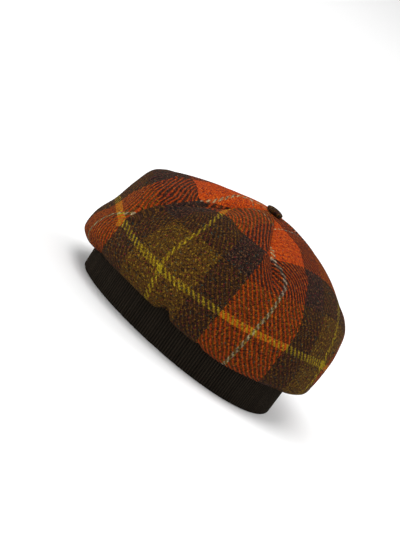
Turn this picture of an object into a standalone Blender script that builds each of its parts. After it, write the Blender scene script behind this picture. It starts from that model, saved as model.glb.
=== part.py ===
"""Tam o' shanter: a tartan tweed crown gathered into a rib-knit headband, with a covered button.

The hat stands on the lower edge of its headband, with its origin in the middle of that edge.
+Z is up, -X the front, +X the back and -Y the wearer's left side. An azimuth is 0 degrees
towards -Y and grows towards +X. Sizes are in millimetres until a mesh is made in metres.
"""

import math

import bpy
import numpy as np

MM = 0.001
COLLECTION = "tam_o_shanter"

# ---- driving sizes, mm ----
CLOTH = 2.0            # thickness of the tweed
SEAT_GAP = 0.3         # clearance between pieces that lie on each other

BAND_HEIGHT = 34.0
BAND_LENGTH = 207.0    # outside, front to back, at the top edge
BAND_WIDTH = 172.0     # outside, side to side
BAND_EGG = 0.15        # the oval is this much wider behind its middle and narrower before it
BAND_WALL = 3.2        # doubled knit
BAND_LEAN = 2.6        # the lower edge lies this much further back than the upper one
BAND_TAPER = 2.0       # and is this much shorter
BAND_ROUNDING = 1.5    # of the folded lower edge
RIB_COUNT = 236
RIB_DEPTH = 0.7

BUTTON_RADIUS = 8.0
BUTTON_HEIGHT = 4.7
BUTTON_EDGE = 2.4      # height of the button's widest ring above its seat
TOP_HEIGHT = 137.8     # cloth under the button

# Rings of the crown's outer face from the button outwards and down, with radius and height
# at the front, the left side, the back and the right side.
UPPER_RINGS = (
    # name             radius: front, left, back, right      height: front, left, back, right
    ("middle",         (0.0, 0.0, 0.0, 0.0),                 (TOP_HEIGHT,) * 4),
    ("under_button",   (9.0, 9.0, 9.0, 9.0),                 (TOP_HEIGHT,) * 4),
    ("top_inner",      (37.0, 36.0, 38.0, 36.0),             (131.5, 136.0, 136.0, 133.5)),
    ("top_outer",      (72.0, 76.0, 72.0, 74.0),             (117.5, 126.5, 125.0, 122.5)),
    ("shoulder_top",   (94.0, 97.5, 94.5, 96.0),             (106.5, 115.5, 110.8, 111.0)),
    ("shoulder",       (104.5, 110.0, 111.8, 111.0),         (99.5, 99.5, 98.5, 98.0)),
    ("side_high",      (110.0, 116.5, 119.0, 117.0),         (84.0, 83.0, 80.0, 81.0)),
    ("side",           (115.0, 118.5, 121.2, 118.5),         (61.0, 65.0, 60.0, 62.0)),
    ("belly",          (121.0, 117.0, 121.0, 118.0),         (38.0, 48.0, 42.0, 45.0)),
)
# Rings below the belly, with radius as above and height over the hem.
LOWER_RINGS = (
    ("belly_low",      (120.0, 110.5, 119.5, 112.0),         7.0),
    ("hem",            (110.0, 98.5, 109.0, 100.0),          0.0),
)
# Rings beside and on the headband, with distance outside its face and height.
HEM_TO_BAND = 3.4      # outside the band, where the cloth turns up along it
HEM_RISE = 0.9
BAND_CLEARANCE = 1.2
RIM_OVERLAP = 2.9      # how far the gathered edge lies in over the band's top edge

# Height of the hem, the lowest line of the crown, at azimuths all round.
HEM_HEIGHTS = (
    # azimuth, height
    (-90.0, 18.6),
    (-75.0, 22.0),
    (-60.0, 26.4),
    (-40.0, 29.2),
    (0.0, 28.2),
    (24.0, 26.6),
    (45.0, 29.2),
    (66.0, 29.6),
    (82.0, 27.6),
    (98.0, 26.4),
    (125.0, 26.5),
    (160.0, 28.5),
    (200.0, 27.5),
    (235.0, 25.0),
)

# The five darts that close the top. Their seams run from the button to a tip at the shoulder,
# and the cloth folds on down the side from there.
DARTS = (
    # name          azimuth at: button, mid top, tip, shoulder, side, underside    valley depth
    ("front_left",  (-42.0, -41.5, -39.5, -47.3, -55.0, -55.0),    7.0),
    ("left",        (16.5, 13.2, 20.5, 20.1, 18.0, 18.0),          5.0),
    ("back",        (116.0, 113.0, 106.0, 82.0, 73.5, 88.0),       5.0),
    ("right_back",  (172.0, 173.0, 171.0, 171.0, 171.0, 171.0),    5.0),
    ("right_front", (235.0, 234.0, 236.0, 235.0, 233.0, 233.0),    5.0),
)
DART_RINGS = (1.0, 3.0, 4.2, 5.6, 7.0, 8.4)    # rings at which the azimuths above hold
VALLEY_REACH = 34.0                    # half width of the valley along a seam
VALLEY_SHARE = (                       # share of the depth, by ring
    (1.0, 0.0),
    (1.5, 0.55),
    (2.2, 0.9),
    (3.2, 1.0),
    (4.2, 0.7),
    (5.2, 0.2),
    (6.5, 0.0),
)

# Below a dart's tip one side of the cloth may lap over the other in a soft tuck.
TUCKS = (
    # dart, side that lies on top, from ring, to ring, lip height, fall beside it
    (0, +1, 3.0, 7.6, 2.8, 4.6),
    (2, -1, 4.4, 8.8, 0.9, 0.5),
    (4, +1, 3.6, 6.6, 2.0, 2.2),
)
LIP_EDGE = 2.6
LIP_REACH = 22.0
FALL_REACH = 13.0

# Hollows pressed into the cloth.
DIMPLES = (
    # azimuth, ring, depth, radius
    (24.0, 4.0, 4.5, 9.0),
    (171.0, 4.3, 3.0, 10.0),
    (237.0, 4.2, 3.0, 10.0),
    (-71.0, 6.4, 2.0, 22.0),
    (66.0, 7.0, 1.5, 20.0),
    (-36.0, 2.6, 4.5, 16.0),
    (-40.0, 3.5, 2.5, 20.0),
)

# Gathers where the crown is drawn into the band.
PLEATS = (
    # azimuth, depth, half width, top ring
    (-59.0, 2.4, 7.0, 8.2),
    (-11.0, 9.0, 5.6, 8.0),
    (11.0, 2.6, 3.6, 8.8),
    (60.0, 1.8, 6.0, 8.4),
    (104.0, 4.0, 5.0, 8.0),
    (127.0, 3.0, 4.5, 8.4),
    (150.0, 5.5, 5.5, 7.8),
    (176.0, 2.6, 4.0, 8.6),
    (203.0, 6.0, 5.5, 7.9),
    (228.0, 3.0, 4.5, 8.4),
    (249.0, 4.0, 6.0, 8.2),
)
PLEAT_END = (10.3, 11.6)               # rings between which a gather flattens out at the band

COLUMNS_PER_GORE = 13
SEAM_CROWDING = 0.35                   # how much closer the columns lie beside a seam
ROWS = (0, 1, 1.5, 2, 2.5, 3, 3.5, 4, 4.5, 5, 5.5, 6, 6.5, 7, 7.5, 8, 8.5, 9, 9.5, 10, 10.5,
        11, 12, 13, 14)


def remove_scene_objects():
    for thing in list(bpy.data.objects):
        bpy.data.objects.remove(thing, do_unlink=True)


def spline(knots, values, x):
    """Smooth curve through values at knots, read at x; values may have further axes."""
    knots = np.asarray(knots, float)
    values = np.asarray(values, float)
    shape = (-1,) + (1,) * (values.ndim - 1)
    span = np.diff(knots).reshape(shape)
    rise = np.diff(values, axis=0) / span
    slope = np.empty_like(values)
    slope[1:-1] = (rise[:-1] * span[1:] + rise[1:] * span[:-1]) / (span[1:] + span[:-1])
    slope[0] = rise[0]
    slope[-1] = rise[-1]
    x = np.clip(np.asarray(x, float), knots[0], knots[-1])
    cell = np.clip(np.searchsorted(knots, x, side="right") - 1, 0, len(knots) - 2)
    width = knots[cell + 1] - knots[cell]
    t = (x - knots[cell]) / width
    shape = x.shape + (1,) * (values.ndim - 1)
    t = t.reshape(shape)
    width = width.reshape(shape)
    return ((1 + 2 * t) * (1 - t) ** 2 * values[cell] + t * (1 - t) ** 2 * width * slope[cell]
            + t * t * (3 - 2 * t) * values[cell + 1] - t * t * (1 - t) * width * slope[cell + 1])


def smooth_step(low, high, x):
    t = np.clip((np.asarray(x, float) - low) / (high - low), 0.0, 1.0)
    return t * t * (3 - 2 * t)


def around(four, azimuth):
    """Blend values for the front, left, back and right into one for each azimuth, radians."""
    front, left, back, right = four
    sideways = np.where(np.cos(azimuth) > 0, left, right)
    lengthwise = np.where(np.sin(azimuth) > 0, back, front)
    return sideways * np.cos(azimuth) ** 2 + lengthwise * np.sin(azimuth) ** 2


def hem_height(azimuth):
    rows = [(a - 360.0, h) for a, h in HEM_HEIGHTS[-3:]]
    rows += list(HEM_HEIGHTS)
    rows += [(a + 360.0, h) for a, h in HEM_HEIGHTS[:3]]
    degrees = (np.degrees(azimuth) + 90.0) % 360.0 - 90.0
    return spline([row[0] for row in rows], [row[1] for row in rows], degrees)


def band_line(angles, height, inset):
    """Points of the band's oval at a height, a distance inside its outer face."""
    down = 1.0 - height / BAND_HEIGHT
    half_length = BAND_LENGTH / 2 - BAND_TAPER / 2 * down - inset
    half_width = (BAND_WIDTH / 2 - inset) * (1.0 + BAND_EGG * np.sin(angles))
    return BAND_LEAN * down + half_length * np.sin(angles), -half_width * np.cos(angles)


def band_radius(azimuth):
    """Distance from the axis to the band's top edge."""
    angles = np.linspace(-math.pi, math.pi, 721)
    x, y = band_line(angles, BAND_HEIGHT, 0.0)
    return np.interp(turn(azimuth, 0.0), np.arctan2(x, -y), np.hypot(x, y))


def crown_rings(azimuth):
    """Radius and height of every ring of the crown at the given azimuths."""
    hem = hem_height(azimuth)
    band = band_radius(azimuth)
    level = np.ones_like(azimuth)
    rings = [(around(radius, azimuth), around(height, azimuth))
             for _, radius, height in UPPER_RINGS]
    rings += [(around(radius, azimuth), hem + over) for _, radius, over in LOWER_RINGS]
    rim = BAND_HEIGHT + SEAT_GAP
    rings += [
        (band + HEM_TO_BAND, hem + HEM_RISE),
        (band + BAND_CLEARANCE, 0.5 * (hem + HEM_RISE + rim)),
        (band + 0.45 * BAND_CLEARANCE, rim * level),
        (band - RIM_OVERLAP, (rim + 0.1) * level),
    ]
    return np.array(rings)


def dart_azimuths(ring):
    """Azimuth of each seam at a ring, radians."""
    ring = np.clip(ring, DART_RINGS[0], DART_RINGS[-1])
    return [math.radians(float(spline(DART_RINGS, azimuths, ring)))
            for _, azimuths, _ in DARTS]


def gore_columns(ring, per_gore):
    """Azimuths of the columns at a ring: a column runs along every seam."""
    seams = dart_azimuths(ring)
    seams.append(seams[0] + 2 * math.pi)
    share = np.arange(per_gore) / per_gore
    share = share - SEAM_CROWDING * np.sin(2 * math.pi * share) / (2 * math.pi)
    return np.concatenate([a + (b - a) * share for a, b in zip(seams, seams[1:])])


def turn(azimuth, other):
    """Signed angle from other to azimuth."""
    return (azimuth - other + math.pi) % (2 * math.pi) - math.pi


def valley_drop(ring, azimuth, radius):
    """How far the seams pull the cloth in; the gores between them stay full."""
    share = float(spline([r for r, _ in VALLEY_SHARE], [s for _, s in VALLEY_SHARE], ring))
    seams = dart_azimuths(ring)
    drop = np.zeros_like(azimuth)
    for index, (_, _, depth) in enumerate(DARTS):
        after = turn(seams[(index + 1) % len(seams)], seams[index]) % (2 * math.pi)
        before = turn(seams[index], seams[index - 1]) % (2 * math.pi)
        offset = turn(azimuth, seams[index])
        gore = np.where(offset > 0, after, before)
        reach = np.minimum(VALLEY_REACH, gore / 2 * radius) + 1e-6
        inward = 1 - np.clip(np.abs(offset) * radius / reach, 0, 1)
        drop += depth * max(share, 0.0) * (1 - np.sqrt(1 - inward ** 2))
    return drop


def tuck_rise(ring, azimuth, radius):
    """Lips of the tucks, up on the side that laps over and down on the other."""
    seams = dart_azimuths(ring)
    rise = np.zeros_like(azimuth)
    for dart, side, start, end, lip, fall in TUCKS:
        middle = 0.5 * (start + end)
        strength = smooth_step(start, middle, ring) * (1 - smooth_step(middle, end, ring))
        along = turn(azimuth, seams[dart]) * radius * side
        over = smooth_step(0.0, LIP_EDGE, along)
        raised = lip * over * np.exp(-np.clip(along - LIP_EDGE, 0, None) / LIP_REACH)
        fallen = fall * (1 - over) * np.exp(-np.clip(-along, 0, None) / FALL_REACH)
        rise += strength * (raised - fallen)
    return rise


def pleat_drop(ring, azimuth, radius):
    drop = np.zeros_like(azimuth)
    for centre, depth, half_width, top in PLEATS:
        strength = smooth_step(top, PLEAT_END[0] - 0.2, ring)
        strength = strength * (1 - smooth_step(*PLEAT_END, ring))
        across = turn(azimuth, math.radians(centre)) * radius / half_width
        drop += depth * strength * np.exp(-across ** 2)
    return drop


def crown_section(ring, azimuth):
    """Radius, height and outward direction of the plain crown at one ring."""
    rings = crown_rings(azimuth)
    spans = np.hypot(*np.moveaxis(np.diff(rings, axis=0), 1, 0)).mean(axis=1)
    knots = np.concatenate([[0.0], np.cumsum(spans)])
    place = float(np.interp(ring, np.arange(len(knots)), knots))
    step = 0.05
    here = spline(knots, rings, place)
    ahead = spline(knots, rings, place + step)
    behind = spline(knots, rings, place - step)
    run = ahead - behind
    run = run / np.maximum(np.hypot(run[0], run[1]), 1e-9)
    return here[0], here[1], -run[1], run[0]


def dimple_drop(points):
    drop = np.zeros(len(points))
    for azimuth, ring, depth, radius in DIMPLES:
        centre = ring_points(ring, np.array([math.radians(azimuth)]), 0.0)[0]
        away = np.linalg.norm(points - centre, axis=1)
        drop += depth * np.exp(-(away / radius) ** 2)
    return drop


def ring_points(ring, azimuth, lift):
    radius, height, out, up = crown_section(ring, azimuth)
    radius = radius + lift * out
    height = height + lift * up
    return np.stack([radius * np.sin(azimuth), -radius * np.cos(azimuth), height], axis=1)


def crown_row(ring, azimuth):
    """Points of the crown's outer face along one ring."""
    plain = ring_points(ring, azimuth, 0.0)
    radius = np.hypot(plain[:, 0], plain[:, 1])
    lift = tuck_rise(ring, azimuth, radius)
    lift -= valley_drop(ring, azimuth, radius)
    lift -= pleat_drop(ring, azimuth, radius)
    lift -= dimple_drop(plain)
    return ring_points(ring, azimuth, lift)


def make_material(name, colour, roughness):
    material = bpy.data.materials.new(name)
    material.use_nodes = True
    shader = material.node_tree.nodes["Principled BSDF"]
    shader.inputs["Base Color"].default_value = (*colour, 1.0)
    shader.inputs["Roughness"].default_value = roughness
    shader.inputs["Metallic"].default_value = 0.0
    return material


def make_object(name, collection, points, faces, material):
    mesh = bpy.data.meshes.new(name)
    mesh.from_pydata([tuple(float(c) * MM for c in point) for point in points], [], faces)
    mesh.materials.append(material)
    mesh.shade_smooth()
    mesh.validate()
    piece = bpy.data.objects.new(name, mesh)
    collection.objects.link(piece)
    return piece


def strip_faces(first, second, count):
    """Quads between two closed rings of points that start at the given numbers."""
    return [(first + i, second + i, second + (i + 1) % count, first + (i + 1) % count)
            for i in range(count)]


def make_crown(collection, material):
    """The open outer face, row by row, thickened inwards to the cloth's thickness."""
    count = COLUMNS_PER_GORE * len(DARTS)
    points = [(0.0, 0.0, TOP_HEIGHT)]
    faces = [(0, 1 + i, 1 + (i + 1) % count) for i in range(count)]
    for number, ring in enumerate(ROWS[1:]):
        points += list(crown_row(ring, gore_columns(ring, COLUMNS_PER_GORE)))
        if number:
            faces += strip_faces(1 + (number - 1) * count, 1 + number * count, count)
    crown = make_object("crown", collection, points, faces, material)
    shell = crown.modifiers.new("cloth", "SOLIDIFY")
    shell.thickness = CLOTH * MM
    shell.offset = -1.0
    return crown


def even_angles(count):
    """Parameter angles that space points evenly round the band's oval."""
    fine = np.linspace(0.0, 2 * math.pi, 2001)
    x, y = band_line(fine, BAND_HEIGHT, 0.0)
    travel = np.concatenate([[0.0], np.cumsum(np.hypot(np.diff(x), np.diff(y)))])
    return np.interp(np.arange(count) / count * travel[-1], travel, fine)


def band_ring(height, inset, angles, groove):
    """One closed line of the headband; every second point lies in a groove between ribs."""
    depth = inset + np.where(np.arange(len(angles)) % 2, groove, 0.0)
    x, y = band_line(angles, height, depth)
    return np.stack([x, y, np.full(len(angles), height)], axis=1)


def make_headband(collection, material):
    """A closed loft: ribbed outer face, folded lower edge, plain inner face, flat top edge."""
    angles = even_angles(2 * RIB_COUNT)
    rings = [
        band_ring(BAND_HEIGHT, 0.0, angles, RIB_DEPTH),
        band_ring(BAND_ROUNDING, 0.0, angles, RIB_DEPTH),
        band_ring(0.0, BAND_ROUNDING, angles, 0.0),
        band_ring(0.0, BAND_WALL, angles, 0.0),
        band_ring(BAND_HEIGHT, BAND_WALL, angles, 0.0),
    ]
    count = len(angles)
    faces = []
    for number in range(len(rings)):
        following = (number + 1) % len(rings)
        faces += strip_faces(number * count, following * count, count)
    return make_object("headband", collection, np.concatenate(rings), faces, material)


def make_button(collection, material):
    """A covered button: a flat seat, a rounded edge and a low dome, turned about the axis."""
    seat = BUTTON_RADIUS - 1.6
    profile = [(0.0, BUTTON_HEIGHT)]
    for degrees in (22, 45, 68, 90):
        angle = math.radians(degrees)
        profile.append((BUTTON_RADIUS * math.sin(angle),
                        BUTTON_EDGE + (BUTTON_HEIGHT - BUTTON_EDGE) * math.cos(angle)))
    profile += [(BUTTON_RADIUS - 0.4, BUTTON_EDGE * 0.4), (seat, 0.0), (0.0, 0.0)]
    mesh = bpy.data.meshes.new("button")
    mesh.from_pydata([(r * MM, 0.0, z * MM) for r, z in profile],
                     [(i, i + 1) for i in range(len(profile) - 1)], [])
    mesh.materials.append(material)
    button = bpy.data.objects.new("button", mesh)
    button.location = (0.0, 0.0, (TOP_HEIGHT + SEAT_GAP) * MM)
    collection.objects.link(button)
    screw = button.modifiers.new("turn", "SCREW")
    screw.axis = "Z"
    screw.steps = 24
    screw.render_steps = 24
    screw.use_merge_vertices = True
    screw.merge_threshold = 0.00001
    screw.use_smooth_shade = True
    return button


def build():
    remove_scene_objects()
    collection = bpy.data.collections.new(COLLECTION)
    bpy.context.scene.collection.children.link(collection)
    make_crown(collection, make_material("tartan_tweed", (0.20, 0.075, 0.02), 0.95))
    make_headband(collection, make_material("rib_knit", (0.013, 0.010, 0.006), 0.92))
    make_button(collection, make_material("button_tweed", (0.06, 0.035, 0.012), 0.95))


build()
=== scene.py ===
"""Looks of the tam o' shanter: a woolly tartan crown, a rib-knit headband and a covered button.

+Z is up, -X the front, +X the back and -Y the wearer's left side, which the camera sees. An
azimuth is 0 degrees towards -Y and grows towards +X. Sizes are in millimetres until a mesh is
made in metres. The crown repeats the CAD crown's sections on a finer grid and carries cloth
coordinates, so that the check runs as it does on a real strip of tweed with five darts.
"""

import math

import bpy
import numpy as np
from mathutils import Matrix, Vector, noise
from mathutils.bvhtree import BVHTree


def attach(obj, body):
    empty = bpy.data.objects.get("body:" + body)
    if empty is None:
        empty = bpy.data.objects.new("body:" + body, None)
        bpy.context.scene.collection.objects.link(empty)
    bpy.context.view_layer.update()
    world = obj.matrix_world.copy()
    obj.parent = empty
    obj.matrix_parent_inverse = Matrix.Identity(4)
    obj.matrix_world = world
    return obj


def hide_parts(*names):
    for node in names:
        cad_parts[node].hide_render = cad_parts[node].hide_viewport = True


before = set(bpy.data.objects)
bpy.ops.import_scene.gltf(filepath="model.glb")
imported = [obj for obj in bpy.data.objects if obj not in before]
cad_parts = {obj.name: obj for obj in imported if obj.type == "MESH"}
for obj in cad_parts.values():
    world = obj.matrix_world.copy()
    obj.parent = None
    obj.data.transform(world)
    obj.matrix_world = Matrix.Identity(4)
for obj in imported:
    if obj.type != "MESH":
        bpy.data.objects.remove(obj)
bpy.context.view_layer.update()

MM = 0.001

# ---- camera ----
IMAGE_HEIGHT = 533         # pixels
ELEVATION = 11.0           # degrees above the level
ROLL = 39.2                # degrees the hat is turned clockwise in the picture
CAMERA_DISTANCE = 2200.0
VIEW_UNIT = 0.87           # mm at the hat's axis that one unit of the side view covers
VIEW_CENTRE = (-20.2, 60.4)
VIEW_START = (2.0, -1.0)   # where the lines of the side view are measured from, in its units

# ---- sizes shared with the solids, mm ----
CLOTH = 2.0
SEAT_GAP = 0.3
BAND_HEIGHT = 34.0
BAND_LENGTH = 207.0
BAND_WIDTH = 172.0
BAND_EGG = 0.15
BAND_WALL = 3.2
BAND_LEAN = 2.6
BAND_TAPER = 2.0
BAND_ROUNDING = 1.5
RIB_COUNT = 236
RIB_DEPTH = 0.7
BUTTON_RADIUS = 8.0
BUTTON_HEIGHT = 4.7
BUTTON_EDGE = 2.4
TOP_HEIGHT = 137.8

UPPER_RINGS = (
    # radius: front, left, back, right; height: front, left, back, right
    ((0, 0, 0, 0),               (TOP_HEIGHT,) * 4),
    ((9, 9, 9, 9),               (TOP_HEIGHT,) * 4),
    ((37, 36, 38, 36),           (131.5, 136, 136, 133.5)),
    ((72, 76, 72, 74),           (117.5, 126.5, 125, 122.5)),
    ((94, 97.5, 94.5, 96),       (106.5, 115.5, 110.8, 111)),
    ((104.5, 110, 111.8, 111),   (99.5, 99.5, 98.5, 98)),
    ((110, 116.5, 119, 117),     (84, 83, 80, 81)),
    ((115, 118.5, 121.2, 118.5), (61, 65, 60, 62)),
    ((121, 117, 121, 118),       (38, 48, 42, 45)),
)
LOWER_RINGS = (
    # radius; height over the hem
    ((120, 110.5, 119.5, 112), 7),
    ((110, 98.5, 109, 100), 0),
)
HEM_TO_BAND = 3.4
HEM_RISE = 0.9
BAND_CLEARANCE = 1.2
RIM_CLEARANCE = 0.54
RIM_OVERLAP = 2.9
RIM_RISE = 0.1
HEM_HEIGHTS = (
    # azimuth, height
    (-90, 18.6), (-75, 22.0), (-60, 26.4), (-40, 29.2), (0, 28.2), (24, 26.6), (45, 29.2),
    (66, 29.6), (82, 27.6), (98, 26.4), (125, 26.5), (160, 28.5), (200, 27.5), (235, 25.0),
)
DARTS = (
    # azimuth at: button, mid top, tip, shoulder, side, underside; valley depth
    ((-42, -41.5, -39.5, -47.3, -55, -55), 7.0),     # front left
    ((16.5, 13.2, 20.5, 20.1, 18, 18), 5.0),         # left
    ((116, 113, 106, 82, 73.5, 88), 5.0),            # back
    ((172, 173, 171, 171, 171, 171), 5.0),           # right back
    ((235, 234, 236, 235, 233, 233), 5.0),           # right front
)
DART_RINGS = (1.0, 3.0, 4.2, 5.6, 7.0, 8.4)
VALLEY_REACH = 34.0
VALLEY_SHARE = ((1.0, 0.0), (1.5, 0.55), (2.2, 0.9), (3.2, 1.0), (4.2, 0.7), (5.2, 0.2), (6.5, 0.0))
TUCKS = (
    # dart, side that lies on top, from ring, to ring, lip height, fall beside it
    (0, +1, 3.0, 7.6, 2.8, 4.6),
    (2, -1, 4.4, 8.8, 0.9, 0.5),
    (4, +1, 3.6, 6.6, 2.0, 2.2),
)
LIP_EDGE = 2.0
LIP_REACH = 22.0
FALL_REACH = 13.0
DIMPLES = (
    # azimuth, ring, depth, radius
    (24, 4.0, 4.5, 9), (171, 4.3, 3.0, 10), (237, 4.2, 3.0, 10), (-71, 6.4, 2.0, 22),
    (66, 7.0, 1.5, 20), (-36, 2.6, 4.5, 16), (-40, 3.5, 2.5, 20),
)
PLEATS = (
    # azimuth, depth, half width, top ring
    (-59, 2.4, 7.0, 8.2), (-11, 9.0, 5.6, 8.0), (11, 2.6, 3.6, 8.8), (60, 1.8, 6.0, 8.4),
    (104, 4.0, 5.0, 8.0), (127, 3.0, 4.5, 8.4), (150, 5.5, 5.5, 7.8), (176, 2.6, 4.0, 8.6),
    (203, 6.0, 5.5, 7.9), (228, 3.0, 4.5, 8.4), (249, 4.0, 6.0, 8.2),
)
PLEAT_FULL = 10.1
PLEAT_END = (10.3, 11.6)

# ---- detail of the visual crown ----
CROWN_COLUMNS = 70         # per gore
CROWN_ROWS = 128
SEAM_CROWDING = 0.35       # how much closer the columns lie near the seams
LAST_RING = 14.0
WRINKLES = ((42.0, 1.1), (17.0, 0.30))         # mm: size and height of the cloth's soft unevenness
WRINKLES_START = (1.2, 2.6)                    # rings
WRINKLES_END = (9.2, 10.2)
UNDERLAY = (
    # ring, degrees that the pleat's underlay shows before and after the first seam, mm of cloth
    # that is hidden on each side of it
    (2.3, 1.4, 1.2, 40, 46), (2.6, 4.2, 5.0, 43, 44), (3.0, 4.3, 11.0, 46, 40),
    (3.5, 4.8, 11.5, 48, 27), (4.0, 4.6, 8.0, 50, 11), (4.5, 4.3, 6.5, 52, 0),
    (5.0, 2.6, 5.5, 54, 0), (5.4, 1.2, 5.5, 54, 0),
)
UNDERLAY_BEGINS = CROWN_COLUMNS - 4            # column of the gore before the seam
UNDERLAY_ENDS = 9                              # column of the gore after it

# ---- detail of the headband and button ----
POINTS_PER_RIB = 6
RIB_ROUNDNESS = 0.7
FOLD_RIBS = 0.2            # share of the ribs' depth that is left at the fold
INNER_RIBS = -0.5          # the same on the inner face, whose ribs stand inwards
BAND_OUTER_ROWS = 34
BAND_FOLD_ROWS = 4
BAND_INNER_ROWS = 12
STITCH_HEIGHT = 1.5
BUTTON_COLUMNS = 96
BUTTON_ROWS = 14
BUTTON_UNDER_ROWS = 7
BUTTON_ROUNDNESS = 0.9
BUTTON_TURN_IN = 1.8       # of the cloth, under the edge
BUTTON_SHANK = 2.0         # radius
BUTTON_GATHERS = 14
GATHER_DEPTH = 0.05        # share of the radius

# ---- the strip of tweed, mm along it (p) and up it (q) ----
GRID_COLUMNS = 20          # per gore, of the grid on which cloth coordinates are found
GRID_STEP = 5.5
GRID_RINGS = (1.0, 12.0)
FAN_TO_STRIP = (2.5, 5.0)  # rings over which the first layout turns from fans into a strip
GATHERED_BELOW = 8.4       # ring under which the cloth is gathered to the band
JOINED_BELOW = (
    # dart, ring and mm of cloth hidden in its tuck; the cloth runs on across it from the first ring
    (0, ((4.2, 46.0), (6.4, 46.0), (7.3, 0.0))),
    (1, ((4.5, 0.0),)),
    (2, ((4.8, 30.0), (5.4, 62.0), (8.6, 62.0), (10.0, 40.0))),
    (3, ((4.5, 0.0),)),
)
GORE_APEX = (
    # p and q at the button for the gores after each dart
    (18.8, 150), (157.7, 151), (360, 151), (500, 151), (-130, 149),
)
SIDE_RUN = (
    # azimuth, p on the side of the crown
    (-125, -219), (-70, -103.5), (-53, -65.5), (-23.4, 0), (8.5, 65.5), (25.5, 103.5),
    (43.6, 141.5), (71.5, 207), (73.5, 212), (74.5, 275), (235, 590),
)

NEAR_LEFT, LEFT_BACK, FRONT = 0, 1, 4          # numbers of the gores that the camera sees
CHECK_LINES = (
    # gore or any, the coordinate that is constant, its value, where the line passes in the side
    # view: view units along and up from the middle of the band's lower edge
    (None, "q", 0.0, (
        (-134, 73), (-128, 67), (-123, 63), (-117, 60), (-110, 57), (-100, 52), (-85, 48), (-70, 46),
        (-56, 44), (-40, 43), (-20, 44), (0, 46), (20, 48), (40, 50), (60, 54), (80, 58), (100, 63),
        (120, 68), (130, 71))),
    (NEAR_LEFT, "q", 79.0, ((-20, 124), (0, 124), (19, 124))),
    (NEAR_LEFT, "q", 125.0, ((-22, 147), (-15, 151), (-8, 151.5), (0, 150), (3, 150))),
    (NEAR_LEFT, "p", 6.0, ((-36.5, 133), (-33, 138), (-27, 143.5))),
    (NEAR_LEFT, "p", 2.3, ((-39.2, 123), (-38.6, 129))),
    (NEAR_LEFT, "p", -2.3, ((-45.2, 123), (-44.2, 128))),
    (NEAR_LEFT, "p", 64.0, ((19.8, 122), (15.6, 130))),
    (LEFT_BACK, "q", 79.0, ((20.9, 121.9), (34.6, 125.8), (42.4, 130.7), (56, 135.6))),
    (LEFT_BACK, "q", 125.0, ((8, 145), (16, 151.3), (22, 153), (30, 157))),
    (FRONT, "q", 79.0, ((-89, 134.2), (-81.5, 133.3), (-74, 127.7), (-69.3, 122.5))),
    (FRONT, "q", 125.0, ((-28.3, 155.7), (-20.8, 148.7))),
    (None, "p", 0.0, (
        (-47, 12), (-50, 20), (-53, 35), (-56, 44), (-57, 60), (-54, 75), (-52, 85), (-48, 93),
        (-46, 103), (-44, 115), (-42, 125))),
    (None, "p", 65.5, ((18, 12), (18, 30), (18.5, 60), (19, 90), (19, 116))),
    (None, "p", 103.5, (
        (54, 9), (56, 20), (57, 40), (58, 55), (59, 75), (57, 95), (55, 107), (50, 114), (44, 117.8),
        (38.5, 119.3), (33, 120.5), (27.7, 121), (24, 120))),
    (None, "p", 141.5, (
        (93, 18), (94, 62), (92, 80), (88, 92), (82, 103), (75, 115), (68, 128), (56, 135.6),
        (40.5, 147.4), (14, 152.3))),
    (LEFT_BACK, "p", 207.0, ((133, 66), (129, 80), (126, 95), (121, 107), (115.5, 117), (107.5, 128))),
    (FRONT, "p", -103.5, ((-69, 117), (-65, 121), (-55, 131), (-48, 140), (-40, 152))),
    (FRONT, "p", -109.0, ((-73, 116), (-80, 110), (-92, 98), (-100, 86), (-107, 76))),
    (FRONT, "p", -118.0, ((-71, 131), (-77.5, 126), (-84.3, 118), (-89, 110), (-98.3, 99))),
    (FRONT, "p", -141.5, (
        (-99, 127), (-103.5, 120.5), (-108, 114), (-112.5, 107), (-117.5, 99), (-125, 84), (-128, 71),
        (-132, 59), (-137, 51))),
    (FRONT, "q", 41.5, ((-120, 106), (-112, 103), (-103, 98), (-94, 92))),
    (NEAR_LEFT, "p", -62.0, ((-74, 107), (-86, 93), (-94, 81), (-100, 71))),
    (None, "p", -103.5, (
        (-133, 27), (-134, 35), (-132, 43), (-130, 49), (-127, 55), (-122, 61), (-115, 66),
        (-108, 71))),
    (None, "p", -65.5, ((-112, 20), (-112, 40), (-112, 57))),
)
LINE_SPACING = 4.0         # view units between the points taken along a line
LINE_PULL = 6.0            # how strongly a line holds the cloth, against its own stiffness
TIE_PULL = 40.0            # how strongly a seam holds its two sides together
ROUNDS = 14
SOLVER_STEPS = 160

# ---- points at which curves are read ----
BAND_SAMPLES = 721
AZIMUTH_SAMPLES = 73
FINE_SAMPLES = 2001


# ---- camera ----

def view_axes():
    """Where the camera looks, and the directions along and up the side view."""
    tilt = math.radians(ELEVATION)
    return (Vector((0.0, math.cos(tilt), -math.sin(tilt))), Vector((1.0, 0.0, 0.0)),
            Vector((0.0, math.sin(tilt), math.cos(tilt))))


def view_point(along, up):
    """The point of the side view's plane through the axis, in mm."""
    _, right, upward = view_axes()
    return (right * (along + VIEW_START[0]) * VIEW_UNIT
            + upward * (up + VIEW_START[1]) * VIEW_UNIT)


def camera_place():
    look, right, upward = view_axes()
    return right * VIEW_CENTRE[0] + upward * VIEW_CENTRE[1] - look * CAMERA_DISTANCE


def add_object(name, data):
    made = bpy.data.objects.new(name, data)
    bpy.context.scene.collection.objects.link(made)
    return made


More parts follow.
